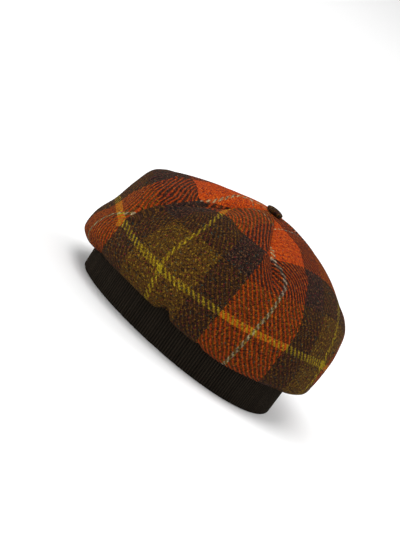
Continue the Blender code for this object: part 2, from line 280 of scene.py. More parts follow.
def make_camera():
    look, right, upward = view_axes()
    roll = math.radians(ROLL)
    across = right * math.cos(roll) + upward * math.sin(roll)
    over = upward * math.cos(roll) - right * math.sin(roll)
    camera = add_object("camera", bpy.data.cameras.new("camera"))
    camera.matrix_world = Matrix.Translation(camera_place() * MM) @ Matrix(
        (across, over, -look)).transposed().to_4x4()
    camera.data.lens = camera.data.sensor_width * CAMERA_DISTANCE / (IMAGE_HEIGHT * VIEW_UNIT)
    camera.data.clip_end = 100.0
    bpy.context.scene.camera = camera


# ---- the crown's sections, as in the solid ----

def spline(knots, values, x):
    """Smooth curve through values at knots, read at x; values may have further axes."""
    knots = np.asarray(knots, float)
    values = np.asarray(values, float)
    shape = (-1,) + (1,) * (values.ndim - 1)
    span = np.diff(knots).reshape(shape)
    rise = np.diff(values, axis=0) / span
    slope = np.empty_like(values)
    slope[1:-1] = (rise[:-1] * span[1:] + rise[1:] * span[:-1]) / (span[1:] + span[:-1])
    slope[0] = rise[0]
    slope[-1] = rise[-1]
    x = np.clip(np.asarray(x, float), knots[0], knots[-1])
    cell = np.clip(np.searchsorted(knots, x, side="right") - 1, 0, len(knots) - 2)
    shape = x.shape + (1,) * (values.ndim - 1)
    width = (knots[cell + 1] - knots[cell]).reshape(shape)
    t = (x - knots[cell]).reshape(shape) / width
    return ((1 + 2 * t) * (1 - t) ** 2 * values[cell] + t * (1 - t) ** 2 * width * slope[cell]
            + t * t * (3 - 2 * t) * values[cell + 1] - t * t * (1 - t) * width * slope[cell + 1])


def smooth_step(low, high, x):
    t = np.clip((np.asarray(x, float) - low) / (high - low), 0.0, 1.0)
    return t * t * (3 - 2 * t)


def travelled(spans):
    """Distance from the start at each end of a row of spans."""
    return np.concatenate([[0.0], np.cumsum(spans)])


def around(four, azimuth):
    """Blend values for the front, left, back and right into one for each azimuth, radians."""
    front, left, back, right = four
    sideways = np.where(np.cos(azimuth) > 0, left, right)
    lengthwise = np.where(np.sin(azimuth) > 0, back, front)
    return sideways * np.cos(azimuth) ** 2 + lengthwise * np.sin(azimuth) ** 2


def hem_height(azimuth):
    rows = [(a + lap, h) for lap in (-360.0, 0.0, 360.0) for a, h in HEM_HEIGHTS]
    degrees = (np.degrees(azimuth) + 90.0) % 360.0 - 90.0
    return spline(*zip(*rows), degrees)


def band_line(angles, height, inset):
    """Points of the band's oval at a height, a distance inside its outer face."""
    down = 1.0 - height / BAND_HEIGHT
    half_length = BAND_LENGTH / 2 - BAND_TAPER / 2 * down - inset
    half_width = (BAND_WIDTH / 2 - inset) * (1.0 + BAND_EGG * np.sin(angles))
    return BAND_LEAN * down + half_length * np.sin(angles), -half_width * np.cos(angles)


def band_radius(azimuth):
    """Distance from the axis to the band's top edge."""
    angles = np.linspace(-math.pi, math.pi, BAND_SAMPLES)
    x, y = band_line(angles, BAND_HEIGHT, 0.0)
    return np.interp(turn(azimuth, 0.0), np.arctan2(x, -y), np.hypot(x, y))


def crown_rings(azimuth):
    """Radius and height of every ring of the crown at the given azimuths."""
    hem = hem_height(azimuth)
    band = band_radius(azimuth)
    level = np.ones_like(azimuth)
    rings = [(around(radius, azimuth), around(height, azimuth)) for radius, height in UPPER_RINGS]
    rings += [(around(radius, azimuth), hem + over) for radius, over in LOWER_RINGS]
    rim = BAND_HEIGHT + SEAT_GAP
    rings += [
        (band + HEM_TO_BAND, hem + HEM_RISE),
        (band + BAND_CLEARANCE, 0.5 * (hem + HEM_RISE + rim)),
        (band + RIM_CLEARANCE, rim * level),
        (band - RIM_OVERLAP, (rim + RIM_RISE) * level),
    ]
    return np.array(rings)


def dart_azimuths(ring):
    """Azimuth of each seam at a ring, radians."""
    ring = np.clip(ring, DART_RINGS[0], DART_RINGS[-1])
    return [math.radians(float(spline(DART_RINGS, azimuths, ring))) for azimuths, _ in DARTS]


def turn(azimuth, other):
    """Signed angle from other to azimuth."""
    return (azimuth - other + math.pi) % (math.tau) - math.pi


def valley_drop(ring, azimuth, radius):
    """How far the seams pull the cloth in; the gores between them stay full."""
    share = float(spline(*zip(*VALLEY_SHARE), ring))
    seams = dart_azimuths(ring)
    drop = np.zeros_like(azimuth)
    for index, (_, depth) in enumerate(DARTS):
        after = turn(seams[(index + 1) % len(seams)], seams[index]) % (math.tau)
        before = turn(seams[index], seams[index - 1]) % (math.tau)
        offset = turn(azimuth, seams[index])
        gore = np.where(offset > 0, after, before)
        reach = np.minimum(VALLEY_REACH, gore / 2 * radius) + 1e-6
        inward = 1 - np.clip(np.abs(offset) * radius / reach, 0, 1)
        drop += depth * max(share, 0.0) * (1 - np.sqrt(1 - inward ** 2))
    return drop


def tuck_rise(ring, azimuth, radius):
    """Lips of the tucks, up on the side that laps over and down on the other."""
    seams = dart_azimuths(ring)
    rise = np.zeros_like(azimuth)
    for dart, side, start, end, lip, fall in TUCKS:
        middle = 0.5 * (start + end)
        strength = smooth_step(start, middle, ring) * (1 - smooth_step(middle, end, ring))
        along = turn(azimuth, seams[dart]) * radius * side
        over = smooth_step(0.0, LIP_EDGE, along)
        raised = lip * over * np.exp(-np.clip(along - LIP_EDGE, 0, None) / LIP_REACH)
        fallen = fall * (1 - over) * np.exp(-np.clip(-along, 0, None) / FALL_REACH)
        rise += strength * (raised - fallen)
    return rise


def pleat_drop(ring, azimuth, radius):
    drop = np.zeros_like(azimuth)
    for centre, depth, half_width, top in PLEATS:
        strength = smooth_step(top, PLEAT_FULL, ring) * (1 - smooth_step(*PLEAT_END, ring))
        across = turn(azimuth, math.radians(centre)) * radius / half_width
        drop += depth * strength * np.exp(-across ** 2)
    return drop


def ring_places(rings):
    """Length of cloth from the button down to each ring, averaged round the crown."""
    return travelled(np.hypot(*np.moveaxis(np.diff(rings, axis=0), 1, 0)).mean(axis=1))


def crown_section(ring, azimuth):
    """Radius, height and outward direction of the plain crown at one ring."""
    rings = crown_rings(azimuth)
    knots = ring_places(rings)
    place = float(np.interp(ring, np.arange(len(knots)), knots))
    step = 0.05
    here = spline(knots, rings, place)
    ahead = spline(knots, rings, place + step)
    behind = spline(knots, rings, place - step)
    run = ahead - behind
    run = run / np.maximum(np.hypot(run[0], run[1]), 1e-9)
    return here[0], here[1], -run[1], run[0]


def dimple_drop(points):
    drop = np.zeros(len(points))
    for azimuth, ring, depth, radius in DIMPLES:
        centre = ring_points(ring, np.array([math.radians(azimuth)]), 0.0)[0]
        away = np.linalg.norm(points - centre, axis=1)
        drop += depth * np.exp(-(away / radius) ** 2)
    return drop


def ring_points(ring, azimuth, lift):
    radius, height, out, up = crown_section(ring, azimuth)
    radius = radius + lift * out
    height = height + lift * up
    return np.stack([radius * np.sin(azimuth), -radius * np.cos(azimuth), height], axis=1)


def unevenness(ring, points):
    """Soft rise and fall of the cloth, which fades out at the button and at the band."""
    strength = float(smooth_step(*WRINKLES_START, ring) * (1 - smooth_step(*WRINKLES_END, ring)))
    return np.array([sum(strength * height * noise.noise(Vector(point) / size)
                         for size, height in WRINKLES) for point in points])


def crown_row(ring, azimuth):
    """Points of the crown's outer face along one ring."""
    plain = ring_points(ring, azimuth, 0.0)
    radius = np.hypot(plain[:, 0], plain[:, 1])
    lift = tuck_rise(ring, azimuth, radius)
    lift -= valley_drop(ring, azimuth, radius)
    lift -= pleat_drop(ring, azimuth, radius)
    lift -= dimple_drop(plain)
    lift += unevenness(ring, plain)
    return ring_points(ring, azimuth, lift)


# ---- where each point of the crown lies on the strip of tweed ----

def rings_apart(step, first, last):
    """Ring numbers about a step of cloth apart."""
    places = ring_places(crown_rings(np.linspace(0.0, math.tau, AZIMUTH_SAMPLES)[:-1]))
    start, end = np.interp([first, last], np.arange(len(places)), places)
    count = int(round((end - start) / step)) + 1
    return np.interp(np.linspace(start, end, count), places, np.arange(len(places)))


def crowded(share):
    """Share of a gore's angle at a share of its columns, which lie closer near the seams."""
    return share - SEAM_CROWDING * np.sin(math.tau * share) / (math.tau)


def gore_azimuths(ring, shares):
    """Azimuths of the columns of each gore: (gore, column); shares of the columns by gore."""
    seams = dart_azimuths(ring)
    seams.append(seams[0] + math.tau)
    return np.array([a + (b - a) * crowded(share) for a, b, share in zip(seams, seams[1:], shares)])


def even_shares(per_gore):
    return [np.arange(per_gore + 1) / per_gore] * len(DARTS)


def underlay(ring):
    """Radians that the underlay reaches on each side of the first seam, mm of cloth hidden."""
    row = spline([row[0] for row in UNDERLAY], [row[1:] for row in UNDERLAY], ring)
    return math.radians(row[0]), math.radians(row[1]), row[2], row[3]


def pleated_shares(ring):
    """As even shares, but one column on each side of the first seam follows the underlay's edge."""
    shares = even_shares(CROWN_COLUMNS)
    seams = dart_azimuths(ring)
    before, after, _, _ = underlay(ring)
    fine = np.linspace(0.0, 1.0, FINE_SAMPLES)
    columns = np.arange(CROWN_COLUMNS + 1)
    front = 1.0 - before / (seams[0] + math.tau - seams[FRONT])
    near = after / (seams[1] - seams[0])
    for gore, column, reach in ((FRONT, UNDERLAY_BEGINS, front), (NEAR_LEFT, UNDERLAY_ENDS, near)):
        edge = np.interp(reach, crowded(fine), fine)
        shares[gore] = np.interp(columns, (0, column, CROWN_COLUMNS), (0.0, edge, 1.0))
    return shares


def hidden_cloth(rings):
    """Shift of the cloth coordinates in the underlay, by gore and row."""
    shift = np.zeros((len(DARTS), len(rings), 2))
    for row, ring in enumerate(rings):
        if UNDERLAY[0][0] < ring < UNDERLAY[-1][0]:
            _, _, shift[FRONT, row, 0], shift[NEAR_LEFT, row, 0] = underlay(ring)
    shift[NEAR_LEFT] *= -1
    return shift


def grid_points(rings):
    """Points of the crown's face: (gore, column, row, xyz)."""
    rows = []
    for ring in rings:
        azimuth = gore_azimuths(ring, even_shares(GRID_COLUMNS))
        rows.append(crown_row(ring, azimuth.ravel()).reshape(azimuth.shape + (3,)))
    return np.stack(rows, axis=2)


def first_cloth(rings, points):
    """A rough layout of the strip: fans round the button, a straight strip down the side."""
    runs = np.linalg.norm(np.diff(points, axis=2), axis=3).mean(axis=1, keepdims=True)
    along = np.concatenate([np.zeros_like(runs[:, :, :1]), np.cumsum(runs, axis=2)], axis=2)
    along = along + np.linalg.norm(points[:, :1, :1, :2], axis=3)
    cloth = np.empty(points.shape[:3] + (2,))
    for row, ring in enumerate(rings):
        azimuth = gore_azimuths(ring, even_shares(GRID_COLUMNS))
        azimuth[FRONT] -= math.tau
        blend = float(smooth_step(*FAN_TO_STRIP, ring))
        for gore, (p_apex, q_apex) in enumerate(GORE_APEX):
            fan = azimuth[gore] - azimuth[gore].mean()
            reach = along[gore, :, row]
            p_top = p_apex + reach * np.sin(fan)
            q_top = q_apex - reach * np.cos(fan)
            p_side = np.interp(np.degrees(azimuth[gore]), *zip(*SIDE_RUN))
            cloth[gore, :, row, 0] = p_top + (p_side - p_top) * blend
            cloth[gore, :, row, 1] = q_top + (q_apex - reach - q_top) * blend
    return cloth


def cell_corners(points):
    """Numbers of the corners of every cell of the grid: (gore, column, row, corner)."""
    number = np.arange(points[..., 0].size).reshape(points.shape[:3])
    return np.stack([number[:, :-1, :-1], number[:, 1:, :-1], number[:, 1:, 1:], number[:, :-1, 1:]],
                    axis=-1)


def flat_cells(rings, points):
    """Corner numbers of every cell of the grid, and its corners laid flat, columns to the right."""
    corners = cell_corners(points).reshape(-1, 4)
    solid = points.reshape(-1, 3)[corners]
    solid = solid - solid.mean(axis=1, keepdims=True)
    across = solid[:, 1] + solid[:, 2] - solid[:, 0] - solid[:, 3]
    across /= np.linalg.norm(across, axis=1, keepdims=True)
    down = solid[:, 2] + solid[:, 3] - solid[:, 0] - solid[:, 1]
    down -= across * (down * across).sum(axis=1, keepdims=True)
    down /= np.linalg.norm(down, axis=1, keepdims=True)
    flat = np.stack([(solid * across[:, None]).sum(axis=2), -(solid * down[:, None]).sum(axis=2)],
                    axis=2)
    widths = np.linalg.norm(np.diff(points, axis=1), axis=3)
    level = int(np.searchsorted(rings, GATHERED_BELOW))
    stretch = np.ones_like(widths)
    stretch[:, :, level:] = widths[:, :, level:level + 1] / widths[:, :, level:]
    cell_stretch = 0.5 * (stretch[:, :, :-1] + stretch[:, :, 1:])
    flat[:, :, 0] *= cell_stretch.reshape(-1, 1)
    return corners, flat


def ties(rings):
    """Pairs of grid points that share one place on the strip, or lie a tuck apart."""
    shape = (len(DARTS), GRID_COLUMNS + 1, len(rings))
    number = np.arange(np.prod(shape)).reshape(shape)
    pairs = []
    for dart, tuck in JOINED_BELOW:
        for row, ring in enumerate(rings):
            if ring >= tuck[0][0]:
                hidden = np.interp(ring, *zip(*tuck))
                pairs.append((number[dart - 1, -1, row], number[dart, 0, row], hidden))
    return pairs


def line_points(points):
    corners = cell_corners(points)
    gores = np.repeat(np.arange(len(corners)), corners[0, ..., 0].size * 2)
    corners = corners.reshape(-1, 4)
    triangles = np.stack([corners[:, [0, 1, 2]], corners[:, [0, 2, 3]]], axis=1).reshape(-1, 3)
    solid = points.reshape(-1, 3)
    tree = BVHTree.FromPolygons(solid.tolist(), triangles.tolist())
    eye = camera_place()
    held = []
    for gore, coordinate, value, line in CHECK_LINES:
        line = np.array(line, float)
        knots = travelled(np.hypot(*np.diff(line, axis=0).T))
        at = np.linspace(0.0, knots[-1], int(knots[-1] / LINE_SPACING) + 2)
        for along, up in zip(np.interp(at, knots, line[:, 0]), np.interp(at, knots, line[:, 1])):
            target = view_point(along, up)
            place, _, face, _ = tree.ray_cast(eye, (target - eye).normalized())
            if face is None or gore not in (None, gores[face]):
                continue
            a, b, c = solid[triangles[face]]
            weights = np.linalg.lstsq(np.array([b - a, c - a]).T, np.array(place) - a, rcond=None)[0]
            weights = np.array([1 - weights.sum(), *weights])
            held.append((triangles[face], weights, "pq".index(coordinate), value))
    return held


def solve_cloth(rings, points):
    """Lay the strip on the crown with as little stretch as can be, its lines where they show."""
    corners, flat = flat_cells(rings, points)
    size = points[..., 0].size
    cloth = first_cloth(rings, points).reshape(size, 2)
    first, second, tucked = map(np.array, zip(*ties(rings)))
    hidden = np.stack([tucked, np.zeros(len(tucked))], axis=1)
    held_points, held_weights, held_axis, held_values = map(np.array, zip(*line_points(points)))

    def gather(places, values):
        return np.stack([np.bincount(places, values[:, axis], size) for axis in (0, 1)], axis=1)

    def centred(field):
        cell = field[corners]
        return cell - cell.mean(axis=1, keepdims=True)

    def pull(field):
        out = gather(corners.ravel(), centred(field).reshape(-1, 2))
        gap = TIE_PULL * (field[second] - field[first])
        out += gather(second, gap) - gather(first, gap)
        seen = (field[held_points, held_axis[:, None]] * held_weights).sum(axis=1)
        return out + hold(LINE_PULL * seen)

    def hold(force):
        spread = np.zeros(held_points.shape + (2,))
        spread[np.arange(len(force)), :, held_axis] = force[:, None] * held_weights
        return gather(held_points.ravel(), spread.reshape(-1, 2))

    fixed = TIE_PULL * (gather(second, hidden) - gather(first, hidden))
    fixed += hold(LINE_PULL * held_values)
    for _ in range(ROUNDS):
        laid = centred(cloth)
        cosine = (laid * flat).sum(axis=(1, 2))
        sine = (laid[..., 1] * flat[..., 0] - laid[..., 0] * flat[..., 1]).sum(axis=1)
        length = np.hypot(cosine, sine)
        cosine, sine = cosine / length, sine / length
        turned = np.stack([flat[..., 0] * cosine[:, None] - flat[..., 1] * sine[:, None],
                           flat[..., 0] * sine[:, None] + flat[..., 1] * cosine[:, None]], axis=2)
        goal = fixed + gather(corners.ravel(), turned.reshape(-1, 2))
        residual = goal - pull(cloth)
        direction = residual.copy()
        energy = (residual ** 2).sum()
        for _ in range(SOLVER_STEPS):
            pulled = pull(direction)
            step = energy / (direction * pulled).sum()
            cloth = cloth + step * direction
            residual = residual - step * pulled
            following = (residual ** 2).sum()
            direction = residual + following / energy * direction
            energy = following
    return cloth.reshape(points.shape[:3] + (2,))


def crown_cloth(mesh_rings):
    """Cloth coordinates of the visual crown: (gore, column, row, p and q)."""
    rings = rings_apart(GRID_STEP, *GRID_RINGS)
    cloth = solve_cloth(rings, grid_points(rings))
    rows = spline(rings, np.moveaxis(cloth, 2, 0), np.asarray(mesh_rings))
    columns = np.arange(GRID_COLUMNS + 1) / GRID_COLUMNS
    fine = np.array([[spline(columns, gore, share) for gore, share in zip(row, pleated_shares(ring))]
                     for ring, row in zip(mesh_rings, rows)])
    return np.moveaxis(fine, 0, 2)


# ---- node helpers ----

def new_material(name):
    material = bpy.data.materials.new(name)
    material.use_nodes = True
    material.node_tree.nodes.clear()
    return material, material.node_tree


def node(tree, kind, inputs=(), **settings):
    """A shader node with its settings and inputs, each a value or another node's output."""
    made = tree.nodes.new("ShaderNode" + kind)
    for name, value in settings.items():
        setattr(made, name, value)
    for name, value in dict(inputs).items():
        socket = made.inputs[name]
        if isinstance(value, bpy.types.NodeSocket):
            tree.links.new(value, socket)
        else:
            socket.default_value = value
    return made


def calc(tree, operation, *values):
    return node(tree, "Math", enumerate(values), operation=operation).outputs[0]


def weighted(tree, weights, values):
    """The sum of values, each times its weight."""
    total = 0.0
    for weight, value in zip(weights, values):
        total = calc(tree, "MULTIPLY_ADD", value, weight, total)
    return total


def mix_colour(tree, factor, first, second, blend="MIX"):
    return node(tree, "Mix", {"Factor": factor, 6: first, 7: second}, data_type="RGBA",
                blend_type=blend).outputs[2]


def ramp(tree, factor, stops):
    """Colours in bands, each from its place on; stops are (place, colour)."""
    made = node(tree, "ValToRGB", {"Fac": factor})
    elements = made.color_ramp.elements
    elements.remove(elements[-1])
    for _ in stops[1:]:
        elements.new(1.0)
    for element, (place, colour) in zip(elements, stops):
        element.position = place
        element.color = (*colour, 1.0)
    made.color_ramp.interpolation = "CONSTANT"
    return made.outputs["Color"]


def noise_at(tree, vector, scale, detail, roughness=0.5):
    return node(tree, "TexNoise", {"Vector": vector, "Scale": scale, "Detail": detail,
                                   "Roughness": roughness}).outputs["Fac"]


def steps(tree, value, low, high, first=0.0, last=1.0):
    """First where the value is low, last where it is high, and smooth between."""
    return node(tree, "MapRange", {
        "Value": value, "From Min": low, "From Max": high, "To Min": first, "To Max": last},
        interpolation_type="SMOOTHSTEP").outputs[0]


def chance(tree, number):
    """A value of its own, from 0 to 1, for each whole number."""
    return node(tree, "TexWhiteNoise", {"W": number}, noise_dimensions="1D").outputs["Value"]


def shaded(tree, colour, brightness):
    grey = node(tree, "CombineColor", dict.fromkeys(("Red", "Green", "Blue"), brightness))
    return mix_colour(tree, 1.0, colour, grey.outputs[0], "MULTIPLY")


def raised(tree, height, strength, distance):
    """The direction of a surface with this height, in units of a distance in mm."""
    return node(tree, "Bump", {"Height": height, "Strength": strength,
                               "Distance": distance * MM}).outputs["Normal"]


def surface(tree, inputs):
    shader = node(tree, "BsdfPrincipled", inputs)
    node(tree, "OutputMaterial", {"Surface": shader.outputs["BSDF"]})


# ---- tweed ----
# The check repeats along the strip and up it, mirrored about each yellow line. Where two colours
# cross, the woolly threads blend as dyes do, so a crossing is darker than their average; where the
# two colours differ, painted shade darkens the crossing further. The twill's hollows carry painted
# shade and its raised ribs and threads painted light.
SETT_ALONG = 207.0
SETT_UP = 250.0
WARP_PITCH = 1.3
WEFT_PITCH = 1.6
TWILL_REPEAT = 4.0         # threads
THREAD_STEPS = 0.5         # how far the ribs step from thread to thread instead of running smooth
RIB_BLEND = 0.13           # share of the covered thread's colour that shows on a rib
RIB_SOFTNESS = 0.36
RIB_FUZZ = 0.9             # threads by which the fibres blur the edge of a rib
FIBRE_SIZE = 0.55
STREAK_LENGTH = 9.0        # mm, of the thick and thin places along a thread
STREAK_WIDTH = 0.8         # threads
THREAD_SHADES = (0.67, 0.26, 0.40)             # the darkest, what chance adds, what streaks add
WOBBLES = ((26.0, 1.5, 3.7), (2.3, 0.74, 8.1))      # of the threads: size and amount in mm, drift
CROSSING_UNLIKE = (0.005, 0.055)               # difference in red at which the painted shade of a crossing comes in
CROSSING_PALE = (0.61, 0.67, 1.0, 0.15)        # green over red, and share of the painted shade: from, to
RELIEF = (0.50, 0.5, 0.6)                      # of the ribs, the threads and the fibres
RELIEF_PAINTED_SHADE = (0.25, 1.0, 0.52, 1.18)        # relief, and painted brightness, shade in the hollows and light on the tops: from, to
SPECKS = {
    # size in mm, drift, noise at which they begin and are full, its detail and roughness, share
    "light fleck": (2.2, 0.0, 0.54, 0.64, 2.0, 0.7, 1.0),
    "dark fleck": (2.4, 2.9, 0.52, 0.62, 2.0, 0.7, 1.0),
    "spark": (2.0, 6.1, 0.59, 0.67, 2.0, 0.6, 0.55),
    "spark hue": (4.0, 9.7, 0.45, 0.55, 1.0, 0.5, 1.0),
}
UV_UNIT = 100.0            # mm of cloth for one unit of the cloth coordinates

# yarn: colour, light fleck, dark fleck
YELLOW = ((0.238, 0.168, 0.0063), (0.40, 0.32, 0.018), (0.115, 0.082, 0.005))
OLIVE = ((0.058, 0.026, 0.0052), (0.178, 0.105, 0.009), (0.016, 0.0080, 0.0047))
CHARCOAL = ((0.0210, 0.0101, 0.0079), (0.104, 0.046, 0.0185), (0.0060, 0.0044, 0.0046))
ORANGE = ((0.36, 0.0435, 0.0036), (0.53, 0.114, 0.0074), (0.135, 0.0150, 0.0046))
GREY = ((0.25, 0.20, 0.130), (0.44, 0.38, 0.28), (0.095, 0.068, 0.043))
# painted shade, slightly redder, laid on crossings of unlike colours
CROSSING_PAINTED_SHADE = (0.78, 0.68, 0.75, 1.0)
MAROON = (0.17, 0.008, 0.022, 1.0)
TEAL = (0.010, 0.060, 0.052, 1.0)
# distance from the yellow line where each yarn begins, mm
STRIPES_ALONG = ((0.0, YELLOW), (2.3, OLIVE), (34.5, CHARCOAL), (65.5, ORANGE), (101.3, GREY))
STRIPES_UP = ((0.0, YELLOW), (2.3, OLIVE), (41.5, CHARCOAL), (79.0, ORANGE), (123.7, GREY))
BUTTON_ALONG = ((0.0, OLIVE),)
BUTTON_UP = ((0.0, CHARCOAL),)


def shifted(tree, vector, drift):
    return node(tree, "VectorMath", {0: vector, 1: (drift, drift, drift)}).outputs[0]


def wobbled(tree, vector, size, amount, drift):
    """Offsets along and up the cloth, mm, that wander over a size in mm."""
    made = node(tree, "TexNoise", {"Vector": shifted(tree, vector, drift),
                                   "Scale": UV_UNIT / size, "Detail": 2.0})
    parts = node(tree, "SeparateColor", {"Color": made.outputs["Color"]}).outputs
    return [calc(tree, "MULTIPLY", calc(tree, "SUBTRACT", parts[axis], 0.5), 2 * amount)
            for axis in ("Red", "Green")]


def streaks(tree, along, across, pitch):
    """Thick and thin places along each thread, 0 to 1."""
    place = node(tree, "CombineXYZ", {"X": calc(tree, "DIVIDE", along, STREAK_LENGTH),
                                      "Y": calc(tree, "DIVIDE", across, STREAK_WIDTH * pitch)})
    return noise_at(tree, place.outputs[0], 1.0, 1.0)


def threads(tree, across, along, pitch, sett, table, flecks):
    """Marled colour of the thread at a place, the thread's number and the place in threads."""
    turns = calc(tree, "DIVIDE", across, pitch)
    thread = calc(tree, "FLOOR", turns)
    middle = calc(tree, "MULTIPLY", calc(tree, "ADD", thread, 0.5), pitch / sett)
    away = calc(tree, "MULTIPLY", calc(tree, "PINGPONG", middle, 0.5), 2.0)
    colour, light, dark = [ramp(tree, away, [(2.0 * begin / sett, yarn[part]) for begin, yarn in table])
                           for part in range(3)]
    for share, fleck in zip(flecks, (light, dark)):
        colour = mix_colour(tree, share, colour, fleck)
    darkest, by_thread, by_streak = THREAD_SHADES
    shade = calc(tree, "MULTIPLY_ADD", chance(tree, thread), by_thread, darkest)
    shade = calc(tree, "MULTIPLY_ADD", streaks(tree, along, across, pitch), by_streak, shade)
    return shaded(tree, colour, shade), thread, turns


def green_share(tree, colour):
    """Green over red, which tells the yellow and grey lines from the broad stripes."""
    parts = node(tree, "SeparateColor", {"Color": colour})
    return calc(tree, "DIVIDE", parts.outputs["Green"], parts.outputs["Red"])


def specks(tree, cloth, size, drift, low, high, detail, roughness, share):
    """Specks of a size in mm, which show by a share where the noise is high."""
    pattern = noise_at(tree, shifted(tree, cloth, drift), UV_UNIT / size, detail, roughness)
    return steps(tree, pattern, low, high, 0.0, share)


def tweed_material(name, stripes_along, stripes_up):
    """A woolly 2/2 twill in which every thread has its own colour from the check."""
    material, tree = new_material(name)
    cloth = node(tree, "UVMap", uv_map="cloth").outputs["UV"]
    parts = node(tree, "SeparateXYZ", {"Vector": cloth})
    p = calc(tree, "MULTIPLY", parts.outputs["X"], UV_UNIT)
    q = calc(tree, "MULTIPLY", parts.outputs["Y"], UV_UNIT)
    for wobble in WOBBLES:
        p_off, q_off = wobbled(tree, cloth, *wobble)
        p = calc(tree, "ADD", p, p_off)
        q = calc(tree, "ADD", q, q_off)

    fibres = noise_at(tree, cloth, UV_UNIT / FIBRE_SIZE, 3.0, 0.6)
    *flecks, spark, hue = [specks(tree, cloth, *speck) for speck in SPECKS.values()]
    warp, warp_thread, warp_turns = threads(tree, p, q, WARP_PITCH, SETT_ALONG, stripes_along, flecks)
    weft, weft_thread, weft_turns = threads(tree, q, p, WEFT_PITCH, SETT_UP, stripes_up, flecks)

    smooth = calc(tree, "ADD", warp_turns, weft_turns)
    stepped = calc(tree, "ADD", calc(tree, "ADD", warp_thread, weft_thread), 1.0)
    turns = weighted(tree, (THREAD_STEPS, 1.0 - THREAD_STEPS, RIB_FUZZ), (stepped, smooth, fibres))
    wave = calc(tree, "PINGPONG", calc(tree, "DIVIDE", turns, TWILL_REPEAT), 0.5)
    wave = calc(tree, "MULTIPLY", wave, 2.0)
    over = steps(tree, wave, 0.5 - RIB_SOFTNESS, 0.5 + RIB_SOFTNESS, RIB_BLEND, 1.0 - RIB_BLEND)
    under = calc(tree, "SUBTRACT", 1.0, over)
    warp_share = node(tree, "Gamma", {"Color": warp, "Gamma": under}).outputs[0]
    weft_share = node(tree, "Gamma", {"Color": weft, "Gamma": over}).outputs[0]
    colour = mix_colour(tree, 1.0, warp_share, weft_share, "MULTIPLY")
    difference = mix_colour(tree, 1.0, warp, weft, "DIFFERENCE")
    unlike = node(tree, "SeparateColor", {"Color": difference}).outputs["Red"]
    palest = calc(tree, "MAXIMUM", green_share(tree, warp), green_share(tree, weft))
    # painted shade on crossings of unlike colours, kept off the yellow and grey lines
    crossing = calc(tree, "MULTIPLY", steps(tree, unlike, *CROSSING_UNLIKE),
                    steps(tree, palest, *CROSSING_PALE))
    shade_painted_colour = mix_colour(tree, 1.0, colour, CROSSING_PAINTED_SHADE, "MULTIPLY")
    colour = mix_colour(tree, crossing, colour, shade_painted_colour)
    colour = mix_colour(tree, spark, colour, mix_colour(tree, hue, MAROON, TEAL))

    ribs = calc(tree, "ABSOLUTE", calc(tree, "MULTIPLY_ADD", wave, 2.0, -1.0))
    warp_round = calc(tree, "PINGPONG", warp_turns, 0.5)
    weft_round = calc(tree, "PINGPONG", weft_turns, 0.5)
    rounds = weighted(tree, (under, over), (warp_round, weft_round))
    height = weighted(tree, RELIEF, (ribs, rounds, fibres))
    # the base colour carries painted shade in the twill's hollows and painted light on its raised ribs
    # and threads
    surface(tree, {
        "Base Color": shaded(tree, colour, steps(tree, height, *RELIEF_PAINTED_SHADE)), "Roughness": 0.95,
        "Specular IOR Level": 0.015, "Sheen Weight": 0.012, "Sheen Roughness": 0.6,
        "Sheen Tint": (1.0, 0.82, 0.65, 1.0), "Normal": raised(tree, height, 0.7, 0.5)})
    return material


# ---- rib knit ----
KNIT_DARK = (0.0125, 0.0091, 0.0059, 1.0)
KNIT_LIGHT = (0.031, 0.0235, 0.0157, 1.0)
KNIT_HEATHER = (0.50, 0.68)                    # fuzz between which the wool turns light
KNIT_SLANT = 1.3           # rows by which a stitch's leg slants
KNIT_FUZZ = 0.5            # rows by which the fuzz blurs the legs
KNIT_RELIEF = (0.55, 0.30, 0.85)               # of the fuzz, the legs and the ribs
KNIT_PAINTED_SHADE = (0.40, 1.35, 0.22, 1.30)         # relief, and painted brightness, shade in the valleys and light on the ribs: from, to
KNIT_UNEVENNESS = 0.35     # brightness that a rib's chance adds


def knit_material(name):
    """Dark heathered wool in columns of V stitches, one column on each rib."""
    material, tree = new_material(name)
    knit = node(tree, "UVMap", uv_map="knit").outputs["UV"]
    parts = node(tree, "SeparateXYZ", {"Vector": knit})
    rib, stitch = parts.outputs["X"], parts.outputs["Y"]
    fuzz = noise_at(tree, knit, 2.6, 3.0, 0.65)
    across = calc(tree, "PINGPONG", rib, 0.5)
    slanted = weighted(tree, (1.0, KNIT_SLANT, KNIT_FUZZ), (stitch, across, fuzz))
    legs = calc(tree, "MULTIPLY", calc(tree, "PINGPONG", slanted, 0.5), 2.0)
    ridge = calc(tree, "MULTIPLY_ADD", across, -2.0, 1.0)
    height = weighted(tree, KNIT_RELIEF, (fuzz, legs, ridge))
    # a rib's own random tone, plus painted shade in the valleys and painted light on the ridges
    uneven_and_painted_shade = calc(tree, "MULTIPLY_ADD", chance(tree, calc(tree, "ROUND", rib)), KNIT_UNEVENNESS,
                steps(tree, height, *KNIT_PAINTED_SHADE))
    colour = mix_colour(tree, steps(tree, fuzz, *KNIT_HEATHER), KNIT_DARK, KNIT_LIGHT)
    surface(tree, {
        "Base Color": shaded(tree, colour, uneven_and_painted_shade), "Roughness": 0.9, "Specular IOR Level": 0.06,
        "Sheen Weight": 0.01, "Normal": raised(tree, height, 0.6, 0.4)})
    return material


# ---- pieces ----

def make_piece(name, points, faces, material):
    mesh = bpy.data.meshes.new(name)
    mesh.from_pydata((np.asarray(points) * MM).tolist(), [], faces)
    mesh.materials.append(material)
    mesh.shade_smooth()
    return add_object(name, mesh)


def lay_uvs(piece, name, uvs):
    layer = piece.data.uv_layers.new(name=name)
    layer.data.foreach_set("uv", np.array(uvs, np.float32).ravel())


